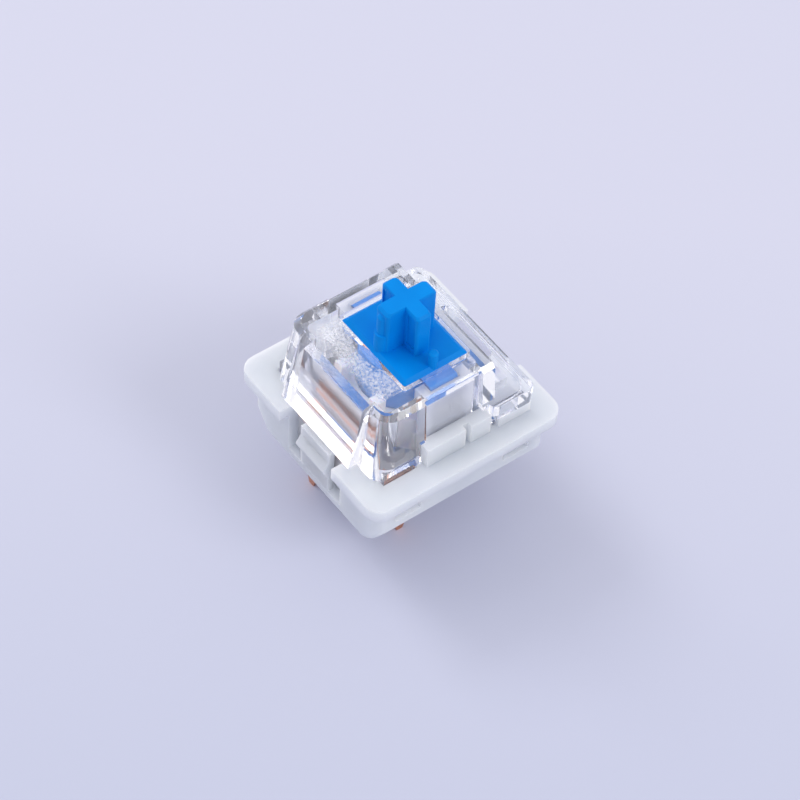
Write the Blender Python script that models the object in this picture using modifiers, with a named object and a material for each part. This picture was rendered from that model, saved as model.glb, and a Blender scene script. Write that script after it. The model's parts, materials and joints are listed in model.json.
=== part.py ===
"""A plate-mount keyboard switch with a clicking two-piece plunger.

Milky lower housing with its locating post, clear upper housing that snaps into it on four legs, blue
stem with a cross for the keycap, click jacket, coil spring, and a pair of contacts with solder pins.

Metres, +Z up along the stem's travel. The origin lies under the middle of the switch, level with the
tips of the pins and of the post. The contacts are on the -Y side and the light slot is on +Y.
Heights are counted from the face of the circuit board, which is POST_LENGTH above the origin.
"""
import math

import bmesh
import bpy
from mathutils import Matrix, Vector

MM = 0.001

# Clearances
SEAT_GAP = 0.05 * MM
SLIDE_GAP = 0.10 * MM
WELD_GAP = 0.02 * MM
COIL_GAP = 0.13 * MM
WINDOW_SIDE_GAP = 0.17 * MM
CUT_PAST = 0.40 * MM
MERGE = 0.001 * MM

# Mounting standard: hole in the plate, grid of the board
POST_LENGTH = 3.30 * MM
POST_RADIUS = 2.00 * MM
POST_CHAMFER = 0.40 * MM
PLATE_HEIGHT = 5.00 * MM
BODY_SIZE = 14.00 * MM
BODY_CORNER = 0.80 * MM
FLANGE_OVERHANG = 0.80 * MM
FLANGE_THICKNESS = 1.00 * MM
FLANGE_CORNER = 1.20 * MM
FIXED_PIN_X = 3.81 * MM
FIXED_PIN_Y = -2.54 * MM
LEAF_PIN_X = -2.54 * MM
LEAF_PIN_Y = -5.08 * MM
PIN_WIDTH = 0.90 * MM
PIN_TIP_WIDTH = 0.50 * MM
PIN_TIP_LENGTH = 0.70 * MM

# Lower housing
FLOOR_THICKNESS = 1.00 * MM
WALL_X = 1.65 * MM
WALL_CONTACT_SIDE = 1.25 * MM
CAVITY_LIGHT_END = 3.40 * MM
CAVITY_CORNER = 0.40 * MM
CAVITY_DRAFT = 0.30 * MM
FOOT_STEP_HEIGHT = 2.40 * MM
FOOT_KNEE_HEIGHT = 0.90 * MM
FOOT_INSET_X = 0.90 * MM
FOOT_INSET_Y = 0.10 * MM
SOLE_INSET_X = 1.50 * MM
SOLE_INSET_Y = 0.50 * MM
COLLAR_HEIGHT = 0.90 * MM
COLLAR_WALL = 0.40 * MM
BORE_END_WALL = 0.70 * MM
GUIDE_CHEEK_WIDTH = 0.70 * MM
GUIDE_WALL = 0.35 * MM
SILL_HEIGHT = 1.70 * MM
SILL_HALF_LENGTH = 2.60 * MM
SILL_STEP = 0.65 * MM
SILL_NOTCH_WIDTH = 0.45 * MM
SILL_NOTCH_Y = 0.75 * MM
REAR_SILL_HEIGHT = 1.00 * MM
REAR_SILL_STEP = 1.10 * MM
REAR_SILL_LENGTH = 2.60 * MM
CLIP_BAY_HALF = 2.90 * MM
CLIP_BAY_DEPTH = 0.80 * MM
CLIP_HALF_WIDTH = 1.55 * MM
CLIP_THICKNESS = 0.50 * MM
CLIP_ROOT_HEIGHT = 1.50 * MM
CLIP_TOP_HEIGHT = 5.40 * MM
CLIP_BARB_HEIGHT = 3.75 * MM
CLIP_BARB_OUT = 0.40 * MM
CLIP_BARB_RISE = 0.75 * MM
CLIP_BARB_FLAT = 0.15 * MM
LIGHT_SLOT_HALF = 2.60 * MM
LIGHT_SLOT_WIDTH = 1.60 * MM
LIGHT_SLOT_WALL = 0.60 * MM

# Upper housing
TOP_HEIGHT = 11.60 * MM
ROOF_THICKNESS = 0.90 * MM
SHELL_SIDE_STEP = 1.15 * MM
SHELL_FRONT_STEP = 0.75 * MM
SHELL_REAR_STEP = 0.90 * MM
SHELL_TAPER = 0.40 * MM
SHELL_FRONT_TAPER = 0.70 * MM
SHELL_CORNER = 1.20 * MM
SHELL_EDGE = 0.35 * MM
SHELL_WALL = 0.80 * MM
PLATEAU_REAR = 3.30 * MM
LEDGE_HEIGHT = 8.35 * MM
LEDGE_THICKNESS = 0.80 * MM
LEDGE_SIDE_STEP = 0.55 * MM
LEDGE_OVERHANG = 0.10 * MM
SIDE_RECESS_HALF = 2.30 * MM
SIDE_WALL_STEP = 1.75 * MM
SIDE_WALL_SKIN = 0.35 * MM
PANEL_HALF = 3.70 * MM
PANEL_OVERHANG = 0.05 * MM
PANEL_FOOT_GAP = 0.25 * MM
PANEL_SLOPE = 1.25 * MM
PANEL_TOP_DROP = 0.40 * MM
PANEL_LIP = 0.20 * MM
PANEL_SIDE_WALL = 0.50 * MM
LEG_STEP = 1.30 * MM
LEG_WIDTH = 2.50 * MM
LEG_THICKNESS = 0.50 * MM
LEG_LENGTH = 2.90 * MM
HOOK_OUT = 0.50 * MM
HOOK_TOP_DEPTH = 1.70 * MM
HOOK_FLAT = 0.20 * MM
HOOK_MARGIN = 0.30 * MM
LEDGE_SLOT_WIDTH = 1.50 * MM
LEDGE_SLOT_CORNER = 0.30 * MM

# Stem
TRAVEL = 4.00 * MM
HEAD_LENGTH = 6.90 * MM
HEAD_WIDTH = 5.20 * MM
HEAD_CORNER = 0.20 * MM
HEAD_CHAMFER = 0.30 * MM
HEAD_REVEAL = 0.03 * MM
CROSS_SIZE = 4.00 * MM
CROSS_HEIGHT = 3.60 * MM
CROSS_X_BAR = 1.17 * MM
CROSS_Y_BAR = 1.31 * MM
CROSS_CORNER = 0.25 * MM
CROSS_CHAMFER = 0.08 * MM
CROSS_TIP_CHAMFER = 0.20 * MM
CROSS_PANEL_DEPTH = 0.10 * MM
CROSS_PANEL_LENGTH = 0.80 * MM
CROSS_PANEL_DROP = 0.40 * MM
GATE_RADIUS = 0.40 * MM
GATE_TIP_RADIUS = 0.22 * MM
GATE_HEIGHT = 3.20 * MM
GATE_SET_IN = 0.15 * MM
GATE_SHOULDER_RADIUS = 0.55 * MM
GATE_SHOULDER_HEIGHT = 1.50 * MM
PIP_RADIUS = 0.35 * MM
PIP_HEIGHT = 1.15 * MM
PIP_EDGE = 0.10 * MM
PIP_SET_IN = 0.05 * MM
BARREL_RADIUS = 3.00 * MM
BARREL_BACK = 2.45 * MM
BARREL_FLOOR_ROOM = 0.25 * MM
BARREL_ROOF = 0.70 * MM
POLE_RADIUS = 1.00 * MM
POLE_TIP_RADIUS = 0.65 * MM
POLE_TIP_LENGTH = 0.50 * MM
POLE_BORE_ROOM = 0.50 * MM
RAIL_HALF = 1.10 * MM
RAIL_LENGTH = 2.40 * MM
RAIL_CHAMFER = 0.20 * MM

# Click jacket: it lags behind the stem by JACKET_LAG over the whole travel
JACKET_LAG = 1.00 * MM
JACKET_WALL = 0.60 * MM
JACKET_HEIGHT = 3.00 * MM
JACKET_BACK = 1.10 * MM
JACKET_LEG_INNER = 1.50 * MM
JACKET_LEG_WIDTH = 0.80 * MM
JACKET_LEG_RISE = 1.60 * MM
JACKET_CAM_DROP = 1.30 * MM
JACKET_CAM_BACK = 0.30 * MM
JACKET_LEG_TOE = 0.35 * MM

# Return spring
SPRING_RADIUS = 1.80 * MM
SPRING_WIRE = 0.24 * MM
SPRING_TURNS = 10
SPRING_END_TURNS = 1
SPRING_END_PITCH = 0.32 * MM
SPRING_STEPS = 16

# Contacts
TERMINAL_SHEET = 0.30 * MM
LEAF_SHEET = 0.12 * MM
LEAF_ARM_INNER = 1.50 * MM
LEAF_ARM_WIDTH = 1.30 * MM
LEAF_FOOT_HALF = 3.20 * MM
LEAF_FOOT_HEIGHT = 1.10 * MM
LEAF_BAR_HEIGHT = 1.10 * MM
LEAF_EAR_DROP = 0.60 * MM
LEAF_TOP_HEIGHT = 8.10 * MM
LEAF_TERMINAL_HALF = 3.40 * MM
LEAF_TERMINAL_HEIGHT = 1.85 * MM
CONTACT_HEIGHT = 6.10 * MM
CONTACT_BAR_LENGTH = 0.90 * MM
CONTACT_BAR_WIDTH = 0.40 * MM
CONTACT_BAR_RISE = 0.18 * MM
CONTACT_OPEN_GAP = 0.30 * MM
FIXED_PLATE_HEIGHT = 2.35 * MM
FIXED_PLATE_END = -0.90 * MM
FIXED_TONGUE_HALF = 0.80 * MM
FIXED_TONGUE_ABOVE = 0.60 * MM

# Roundness
CORNER_STEPS = 5
ROUND_STEPS = 40
FINE_STEPS = 24

# Levels and places that follow from the sizes above
BOARD_FACE = POST_LENGTH
FLOOR = BOARD_FACE + FLOOR_THICKNESS
PLATE_SEAT = BOARD_FACE + PLATE_HEIGHT
FLANGE_TOP = PLATE_SEAT + FLANGE_THICKNESS
SHELL_FOOT = FLANGE_TOP + SEAT_GAP
TOP = BOARD_FACE + TOP_HEIGHT
ROOF_UNDER = TOP - ROOF_THICKNESS
LEDGE_TOP = BOARD_FACE + LEDGE_HEIGHT
LEDGE_UNDER = LEDGE_TOP - LEDGE_THICKNESS
SILL_TOP = FLANGE_TOP + SILL_HEIGHT
REAR_SILL_TOP = FLANGE_TOP + REAR_SILL_HEIGHT
BODY_HALF = BODY_SIZE / 2
FLANGE_SIZE = BODY_SIZE + 2 * FLANGE_OVERHANG
FLANGE_HALF = FLANGE_SIZE / 2
CAVITY_HALF = BODY_HALF - WALL_X
CAVITY_FRONT = -(BODY_HALF - WALL_CONTACT_SIDE)
LIGHT_SLOT_START = CAVITY_LIGHT_END + LIGHT_SLOT_WALL
LIGHT_SLOT_END = LIGHT_SLOT_START + LIGHT_SLOT_WIDTH
SILL_OUTSIDE = BODY_HALF - SILL_STEP
REAR_SILL_END = BODY_HALF - REAR_SILL_STEP
REAR_SILL_START = REAR_SILL_END - REAR_SILL_LENGTH
SHELL_HALF_FOOT = BODY_HALF - SHELL_SIDE_STEP
SHELL_HALF_TOP = SHELL_HALF_FOOT - SHELL_TAPER
SHELL_FRONT_FOOT = BODY_HALF - SHELL_FRONT_STEP
SHELL_FRONT_TOP = SHELL_FRONT_FOOT - SHELL_FRONT_TAPER
SHELL_REAR = BODY_HALF - SHELL_REAR_STEP
LEDGE_HALF = BODY_HALF - LEDGE_SIDE_STEP
LEDGE_REAR = SHELL_REAR + LEDGE_OVERHANG
SIDE_WALL_OUTSIDE = BODY_HALF - SIDE_WALL_STEP
PANEL_FOOT = BODY_HALF + PANEL_OVERHANG
PANEL_TOP = PANEL_FOOT - PANEL_SLOPE
LEG_END = BODY_HALF - LEG_STEP
LEG_START = LEG_END - LEG_WIDTH
WINDOW_HALF_X = HEAD_LENGTH / 2 + WINDOW_SIDE_GAP
WINDOW_HALF_Y = HEAD_WIDTH / 2 + SLIDE_GAP
SHELL_INNER_HALF = SIDE_WALL_OUTSIDE - SHELL_WALL
SHELL_INNER_REAR = WINDOW_HALF_Y
GUIDE_OUTSIDE = SIDE_WALL_OUTSIDE - SIDE_WALL_SKIN - SEAT_GAP
GUIDE_INSIDE = GUIDE_OUTSIDE - GUIDE_WALL
GUIDE_TOP = ROOF_UNDER - SLIDE_GAP
RAIL_REACH = GUIDE_INSIDE - SLIDE_GAP
RAIL_CHANNEL_HALF = RAIL_HALF + SLIDE_GAP
GUIDE_HALF = RAIL_CHANNEL_HALF + GUIDE_CHEEK_WIDTH
HEAD_TOP = TOP - HEAD_REVEAL
STEM_TOP = HEAD_TOP + CROSS_HEIGHT
BARREL_TOP = ROOF_UNDER - SEAT_GAP
BARREL_END = FLOOR + TRAVEL + BARREL_FLOOR_ROOM
POLE_END = BORE_END_WALL + TRAVEL + POLE_BORE_ROOM
SPRING_CEILING = BARREL_TOP - BARREL_ROOF
BARREL_INSIDE = SPRING_RADIUS + SPRING_WIRE / 2 + COIL_GAP
RAIL_ROOT = (BARREL_INSIDE + BARREL_RADIUS) / 2
BORE_RADIUS = POLE_RADIUS + SLIDE_GAP
JACKET_TOP = BARREL_TOP - RAIL_LENGTH - JACKET_LAG - SLIDE_GAP
JACKET_FOOT = JACKET_TOP - JACKET_HEIGHT
JACKET_INSIDE = BARREL_RADIUS + SLIDE_GAP
JACKET_OUTSIDE = JACKET_INSIDE + JACKET_WALL
JACKET_BESIDE_RAIL = math.sqrt(JACKET_OUTSIDE ** 2 - RAIL_CHANNEL_HALF ** 2)
GUIDE_CHEEK_END = max(JACKET_BESIDE_RAIL, WINDOW_HALF_X) + SLIDE_GAP
LEAF_TERMINAL_Y = CAVITY_FRONT + SEAT_GAP + TERMINAL_SHEET / 2
LEAF_Y = LEAF_TERMINAL_Y + TERMINAL_SHEET / 2 + SEAT_GAP + LEAF_SHEET / 2
CONTACT_STACK = CONTACT_OPEN_GAP + 2 * (CONTACT_BAR_RISE + WELD_GAP)
FIXED_PLATE_Y = LEAF_Y + LEAF_SHEET / 2 + CONTACT_STACK + TERMINAL_SHEET / 2
JACKET_LEG_OUT = -(FIXED_PLATE_Y + TERMINAL_SHEET / 2 + SLIDE_GAP)
EAR_Y = -(JACKET_LEG_OUT + SEAT_GAP + LEAF_SHEET / 2)
PANEL_INSIDE = -(LEAF_Y - LEAF_SHEET / 2 - SLIDE_GAP)
TERMINAL_FOOT = FLOOR + SEAT_GAP
LEAF_FOOT = TERMINAL_FOOT + TERMINAL_SHEET + SLIDE_GAP
LEAF_TOP = BOARD_FACE + LEAF_TOP_HEIGHT
CONTACT_Z = BOARD_FACE + CONTACT_HEIGHT

PARTS = "keyboard_switch"
TOOLS = "cutters"


def clear_scene():
    for thing in list(bpy.data.objects):
        bpy.data.objects.remove(thing, do_unlink=True)
    for name in (PARTS, TOOLS):
        bpy.context.scene.collection.children.link(bpy.data.collections.new(name))


def keep(name, mesh, group=TOOLS):
    """Puts a mesh into the scene: as a part, or as a hidden tool that cuts or joins one."""
    thing = bpy.data.objects.new(name, mesh)
    bpy.data.collections[group].objects.link(thing)
    if group == TOOLS:
        thing.hide_render = True
        thing.display_type = "WIRE"
    return thing


def finished_mesh(name, shape):
    bmesh.ops.recalc_face_normals(shape, faces=shape.faces)
    mesh = bpy.data.meshes.new(name)
    shape.to_mesh(mesh)
    shape.free()
    return mesh


def box(name, x, y, z, group=TOOLS):
    """A block between pairs of coordinates along each axis."""
    shape = bmesh.new()
    middle = Vector(((x[0] + x[1]) / 2, (y[0] + y[1]) / 2, (z[0] + z[1]) / 2))
    size = Matrix.Diagonal((x[1] - x[0], y[1] - y[0], z[1] - z[0], 1))
    bmesh.ops.create_cube(shape, size=1, matrix=Matrix.Translation(middle) @ size)
    return keep(name, finished_mesh(name, shape), group)


def rounded_rectangle(x, y, radius):
    """Corner arcs of a rectangle, anticlockwise from its right side."""
    centres = [(x[1], y[1], 0), (x[0], y[1], 1), (x[0], y[0], 2), (x[1], y[0], 3)]
    points = []
    for cx, cy, quarter in centres:
        cx -= math.copysign(radius, cx - (x[0] + x[1]) / 2)
        cy -= math.copysign(radius, cy - (y[0] + y[1]) / 2)
        for step in range(CORNER_STEPS + 1):
            angle = (quarter + step / CORNER_STEPS) * math.pi / 2
            points.append((cx + radius * math.cos(angle), cy + radius * math.sin(angle)))
    return points


def loft(name, sections, group=TOOLS):
    """A solid through rounded rectangles, each given as height, x pair, y pair and corner radius."""
    shape = bmesh.new()
    rings = []
    for height, x, y, radius in sections:
        rings.append([shape.verts.new((u, v, height)) for u, v in rounded_rectangle(x, y, radius)])
    for lower, upper in zip(rings, rings[1:]):
        for i in range(len(lower)):
            j = (i + 1) % len(lower)
            shape.faces.new((lower[i], lower[j], upper[j], upper[i]))
    shape.faces.new(reversed(rings[0]))
    shape.faces.new(rings[-1])
    return keep(name, finished_mesh(name, shape), group)


def prism(name, plane, outline, span, group=TOOLS):
    """A flat outline in the XY, XZ or YZ plane, made thick between the two values of span."""
    curve = bpy.data.curves.new(name, "CURVE")
    curve.dimensions = "2D"
    curve.fill_mode = "BOTH"
    curve.extrude = (span[1] - span[0]) / 2
    spline = curve.splines.new("POLY")
    spline.points.add(len(outline) - 1)
    for point, (u, v) in zip(spline.points, outline):
        point.co = (u, v, 0, 1)
    spline.use_cyclic_u = True
    drawn = bpy.data.objects.new(name + "_outline", curve)
    bpy.context.scene.collection.objects.link(drawn)
    mesh = bpy.data.meshes.new_from_object(drawn.evaluated_get(bpy.context.evaluated_depsgraph_get()))
    bpy.data.objects.remove(drawn)
    axes = {
        "XY": ((1, 0, 0), (0, 1, 0), (0, 0, 1)),
        "XZ": ((1, 0, 0), (0, 0, 1), (0, -1, 0)),
        "YZ": ((0, 1, 0), (0, 0, 1), (1, 0, 0)),
    }[plane]
    turn = Matrix(axes).transposed().to_4x4()
    middle = Vector(axes[2]) * (span[0] + span[1]) / 2
    if plane == "XZ":
        middle.negate()
    shape = bmesh.new()
    shape.from_mesh(mesh)
    bpy.data.meshes.remove(mesh)
    bmesh.ops.remove_doubles(shape, verts=shape.verts, dist=MERGE)
    bmesh.ops.transform(shape, matrix=Matrix.Translation(middle) @ turn, verts=shape.verts)
    return keep(name, finished_mesh(name, shape), group)


def turned(name, profile, closed=False, steps=ROUND_STEPS, centre=(0, 0), group=TOOLS):
    """A profile of radius and height pairs, turned about an upright axis. It runs down its outside."""
    mesh = bpy.data.meshes.new(name)
    edges = [(i, i + 1) for i in range(len(profile) - 1)]
    if closed:
        edges.append((len(profile) - 1, 0))
    mesh.from_pydata([(radius, 0, height) for radius, height in profile], edges, [])
    thing = keep(name, mesh, group)
    thing.location = (centre[0], centre[1], 0)
    screw = thing.modifiers.new("turn", "SCREW")
    screw.steps = screw.render_steps = steps
    screw.use_merge_vertices = True
    screw.merge_threshold = MERGE
    screw.use_smooth_shade = True
    return thing


def shape_with(part, tool, operation):
    change = part.modifiers.new(tool.name, "BOOLEAN")
    change.operation = operation
    change.object = tool
    change.solver = "EXACT"


def cut(part, *tools):
    for tool in tools:
        shape_with(part, tool, "DIFFERENCE")


def join(part, *tools):
    for tool in tools:
        shape_with(part, tool, "UNION")


def mirrored(points, axis):
    """The same outline on the other side of one axis."""
    return [(-u, v) if axis == 0 else (u, -v) for u, v in points]


def strip_outline(path, thickness):
    """The outline of a bent strip of sheet whose middle follows the path, with mitred bends."""
    half = thickness / 2
    left, right = [], []
    for i, (u, v) in enumerate(path):
        here = Vector((u, v))
        before = (here - Vector(path[i - 1])).normalized() if i else None
        after = (Vector(path[i + 1]) - here).normalized() if i + 1 < len(path) else None
        before, after = before or after, after or before
        side = (before + after).normalized().orthogonal()
        reach = half / side.dot(before.orthogonal())
        left.append(tuple(here + side * reach))
        right.append(tuple(here - side * reach))
    return left + right[::-1]


def finish(part, name, colour, roughness, metallic=0.0, alpha=1.0):
    """Gives the part its own material."""
    material = bpy.data.materials.new(name)
    material.use_nodes = True
    shader = material.node_tree.nodes["Principled BSDF"]
    shader.inputs["Base Color"].default_value = (*colour, 1)
    shader.inputs["Roughness"].default_value = roughness
    shader.inputs["Metallic"].default_value = metallic
    shader.inputs["Alpha"].default_value = alpha
    part.data.materials.append(material)
    return part


def lower_body(name):
    """The block that goes through the plate: square above, drawn in towards its sole."""
    def square(height, inset_x, inset_y):
        x = BODY_HALF - inset_x
        y = BODY_HALF - inset_y
        return BOARD_FACE + height, (-x, x), (-y, y), BODY_CORNER

    return loft(name, [
        square(0, SOLE_INSET_X, SOLE_INSET_Y),
        square(FOOT_KNEE_HEIGHT, FOOT_INSET_X, FOOT_INSET_Y),
        square(FOOT_STEP_HEIGHT, 0, 0),
        square(PLATE_HEIGHT + FLANGE_THICKNESS / 2, 0, 0),
    ], PARTS)


def plate_clip(side):
    """A tongue that stands in its bay and springs in over the edge of the plate's hole."""
    outside = BODY_HALF
    inside = outside - CLIP_THICKNESS
    root = BOARD_FACE + CLIP_ROOT_HEIGHT - CUT_PAST
    barb = BOARD_FACE + CLIP_BARB_HEIGHT
    outline = [
        (-inside, root),
        (-inside, BOARD_FACE + CLIP_TOP_HEIGHT),
        (-outside, BOARD_FACE + CLIP_TOP_HEIGHT),
        (-outside, barb + CLIP_BARB_RISE),
        (-outside - CLIP_BARB_OUT, barb + CLIP_BARB_FLAT),
        (-outside - CLIP_BARB_OUT, barb),
        (-outside, barb - CLIP_BARB_RISE),
        (-outside + FOOT_INSET_Y, root),
    ]
    if side > 0:
        outline = mirrored(outline, 0)
    name = "plate_clip_rear" if side > 0 else "plate_clip_front"
    return prism(name, "YZ", outline, (-CLIP_HALF_WIDTH, CLIP_HALF_WIDTH))


def lower_housing():
    part = lower_body("lower_housing")
    flange = (-FLANGE_HALF, FLANGE_HALF)
    join(part, loft("flange", [
        (PLATE_SEAT, flange, flange, FLANGE_CORNER),
        (FLANGE_TOP, flange, flange, FLANGE_CORNER),
    ]))
    narrow = (-CAVITY_HALF + CAVITY_DRAFT, CAVITY_HALF - CAVITY_DRAFT)
    wide = (-CAVITY_HALF, CAVITY_HALF)
    along = (CAVITY_FRONT, CAVITY_LIGHT_END)
    cut(part, loft("cavity", [
        (FLOOR, narrow, along, CAVITY_CORNER),
        (BOARD_FACE + FOOT_STEP_HEIGHT, wide, along, CAVITY_CORNER),
        (FLANGE_TOP + CUT_PAST, wide, along, CAVITY_CORNER),
    ]))
    cut(part, box("light_slot", (-LIGHT_SLOT_HALF, LIGHT_SLOT_HALF), (LIGHT_SLOT_START, LIGHT_SLOT_END),
                  (BOARD_FACE - CUT_PAST, FLANGE_TOP + CUT_PAST)))
    for side in (-1, 1):
        bay = sorted((side * (BODY_HALF - CLIP_BAY_DEPTH), side * (FLANGE_HALF + CUT_PAST)))
        word = "rear" if side > 0 else "front"
        cut(part, box(f"clip_bay_{word}", (-CLIP_BAY_HALF, CLIP_BAY_HALF), bay,
                      (BOARD_FACE + CLIP_ROOT_HEIGHT, FLANGE_TOP + CUT_PAST)))
        join(part, plate_clip(side))
    for side in (-1, 1):
        side_details(part, side)
    cut(part, pin_slot("fixed_pin_slot", (FIXED_PIN_X, FIXED_PIN_Y), (TERMINAL_SHEET, PIN_WIDTH)))
    cut(part, pin_slot("leaf_pin_slot", (LEAF_PIN_X, LEAF_PIN_Y), (PIN_WIDTH, TERMINAL_SHEET)))
    join(part, turned("post", [
        (0, BOARD_FACE + FLOOR_THICKNESS / 2),
        (POST_RADIUS, BOARD_FACE + FLOOR_THICKNESS / 2),
        (POST_RADIUS, POST_CHAMFER),
        (POST_RADIUS - POST_CHAMFER, 0),
        (0, 0),
    ]))
    join(part, turned("spring_collar", [
        (0, FLOOR + COLLAR_HEIGHT),
        (BORE_RADIUS + COLLAR_WALL, FLOOR + COLLAR_HEIGHT),
        (BORE_RADIUS + COLLAR_WALL, FLOOR - FLOOR_THICKNESS / 2),
        (0, FLOOR - FLOOR_THICKNESS / 2),
    ]))
    cut(part, turned("pole_bore", [
        (0, FLOOR + COLLAR_HEIGHT + CUT_PAST),
        (BORE_RADIUS, FLOOR + COLLAR_HEIGHT + CUT_PAST),
        (BORE_RADIUS, BORE_END_WALL),
        (0, BORE_END_WALL),
    ]))
    return finish(part, "milky_nylon", (0.80, 0.83, 0.84), 0.45)


def side_details(part, side):
    """Sills, rail guide, leg slots and catch windows of one long side of the lower housing."""
    word = "right" if side > 0 else "left"

    def across(low, high):
        return tuple(sorted((side * low, side * high)))

    join(part, box(f"sill_{word}", across(CAVITY_HALF, SILL_OUTSIDE), (-SILL_HALF_LENGTH, SILL_HALF_LENGTH),
                   (FLANGE_TOP - CUT_PAST, SILL_TOP)))
    slot_outside = SHELL_HALF_FOOT + SLIDE_GAP
    join(part, box(f"rear_sill_{word}", across(slot_outside, SILL_OUTSIDE),
                   (REAR_SILL_START, REAR_SILL_END), (FLANGE_TOP - CUT_PAST, REAR_SILL_TOP)))
    notch = (SILL_NOTCH_Y - SILL_NOTCH_WIDTH / 2, SILL_NOTCH_Y + SILL_NOTCH_WIDTH / 2)
    cut(part, box(f"sill_notch_{word}", across(SILL_OUTSIDE - SILL_NOTCH_WIDTH, SILL_OUTSIDE + CUT_PAST),
                  notch, (FLANGE_TOP, SILL_TOP + CUT_PAST)))
    guide = [
        (GUIDE_CHEEK_END, -GUIDE_HALF),
        (GUIDE_OUTSIDE, -GUIDE_HALF),
        (GUIDE_OUTSIDE, GUIDE_HALF),
        (GUIDE_CHEEK_END, GUIDE_HALF),
        (GUIDE_CHEEK_END, RAIL_CHANNEL_HALF),
        (GUIDE_INSIDE, RAIL_CHANNEL_HALF),
        (GUIDE_INSIDE, -RAIL_CHANNEL_HALF),
        (GUIDE_CHEEK_END, -RAIL_CHANNEL_HALF),
    ]
    if side < 0:
        guide = mirrored(guide, 0)
    join(part, prism(f"guide_{word}", "XY", guide, (FLOOR - FLOOR_THICKNESS / 2, GUIDE_TOP)))
    join(part, box(f"guide_backing_{word}", across(GUIDE_INSIDE + GUIDE_WALL / 2, CAVITY_HALF + SLIDE_GAP),
                   (-GUIDE_HALF, GUIDE_HALF), (FLOOR - FLOOR_THICKNESS / 2, FLANGE_TOP)))
    for end in (-1, 1):
        tag = f"{word}_{'rear' if end > 0 else 'front'}"
        near = LEG_START - SLIDE_GAP
        far = LEG_END + SLIDE_GAP
        bottom = SHELL_FOOT - LEG_LENGTH - SLIDE_GAP
        inside = SHELL_HALF_FOOT - LEG_THICKNESS - SLIDE_GAP
        cut(part, box(f"leg_slot_{tag}", across(inside, slot_outside), sorted((end * near, end * far)),
                      (bottom, FLANGE_TOP + CUT_PAST)))
        window = sorted((end * (near + HOOK_MARGIN), end * (far - HOOK_MARGIN)))
        cut(part, box(f"catch_window_{tag}", across(slot_outside - CUT_PAST, BODY_HALF + CUT_PAST), window,
                      (bottom, SHELL_FOOT - HOOK_TOP_DEPTH + SLIDE_GAP)))


def pin_slot(name, centre, size):
    x = size[0] / 2 + SEAT_GAP
    y = size[1] / 2 + SEAT_GAP
    return box(name, (centre[0] - x, centre[0] + x), (centre[1] - y, centre[1] + y),
               (BOARD_FACE - CUT_PAST, FLOOR + CUT_PAST))


def front_panel():
    """The sloped front: a solid wedge, steep and bare outside, upright inside where the leaf stands."""
    foot = SHELL_FOOT + PANEL_FOOT_GAP
    return prism("front_panel", "YZ", [
        (-SHELL_FRONT_TOP + SHELL_WALL, foot),
        (-PANEL_FOOT, foot),
        (-PANEL_FOOT, foot + PANEL_LIP),
        (-PANEL_TOP, TOP - PANEL_TOP_DROP),
        (-PANEL_TOP + PANEL_TOP_DROP, TOP),
        (-SHELL_FRONT_TOP + SHELL_WALL, TOP),
    ], (-PANEL_HALF, PANEL_HALF))


def snap_leg(side, end):
    """A leg that reaches down into the lower housing and hooks out into its catch window."""
    outside = SHELL_HALF_FOOT
    inside = outside - LEG_THICKNESS
    bottom = SHELL_FOOT - LEG_LENGTH
    catch = SHELL_FOOT - HOOK_TOP_DEPTH
    tag = f"{'right' if side > 0 else 'left'}_{'rear' if end > 0 else 'front'}"
    leg = box(f"leg_{tag}", tuple(sorted((side * inside, side * outside))),
              tuple(sorted((end * LEG_START, end * LEG_END))), (bottom, SHELL_FOOT + SHELL_WALL))
    hook = [
        (inside + LEG_THICKNESS / 2, catch),
        (inside + LEG_THICKNESS / 2, bottom),
        (outside - LEG_THICKNESS / 4, bottom),
        (outside + HOOK_OUT, catch - HOOK_FLAT),
        (outside + HOOK_OUT, catch),
    ]
    if side < 0:
        hook = mirrored(hook, 0)
    span = tuple(sorted((end * (LEG_START + HOOK_MARGIN), end * (LEG_END - HOOK_MARGIN))))
    return leg, prism(f"hook_{tag}", "XZ", hook, span)


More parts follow.
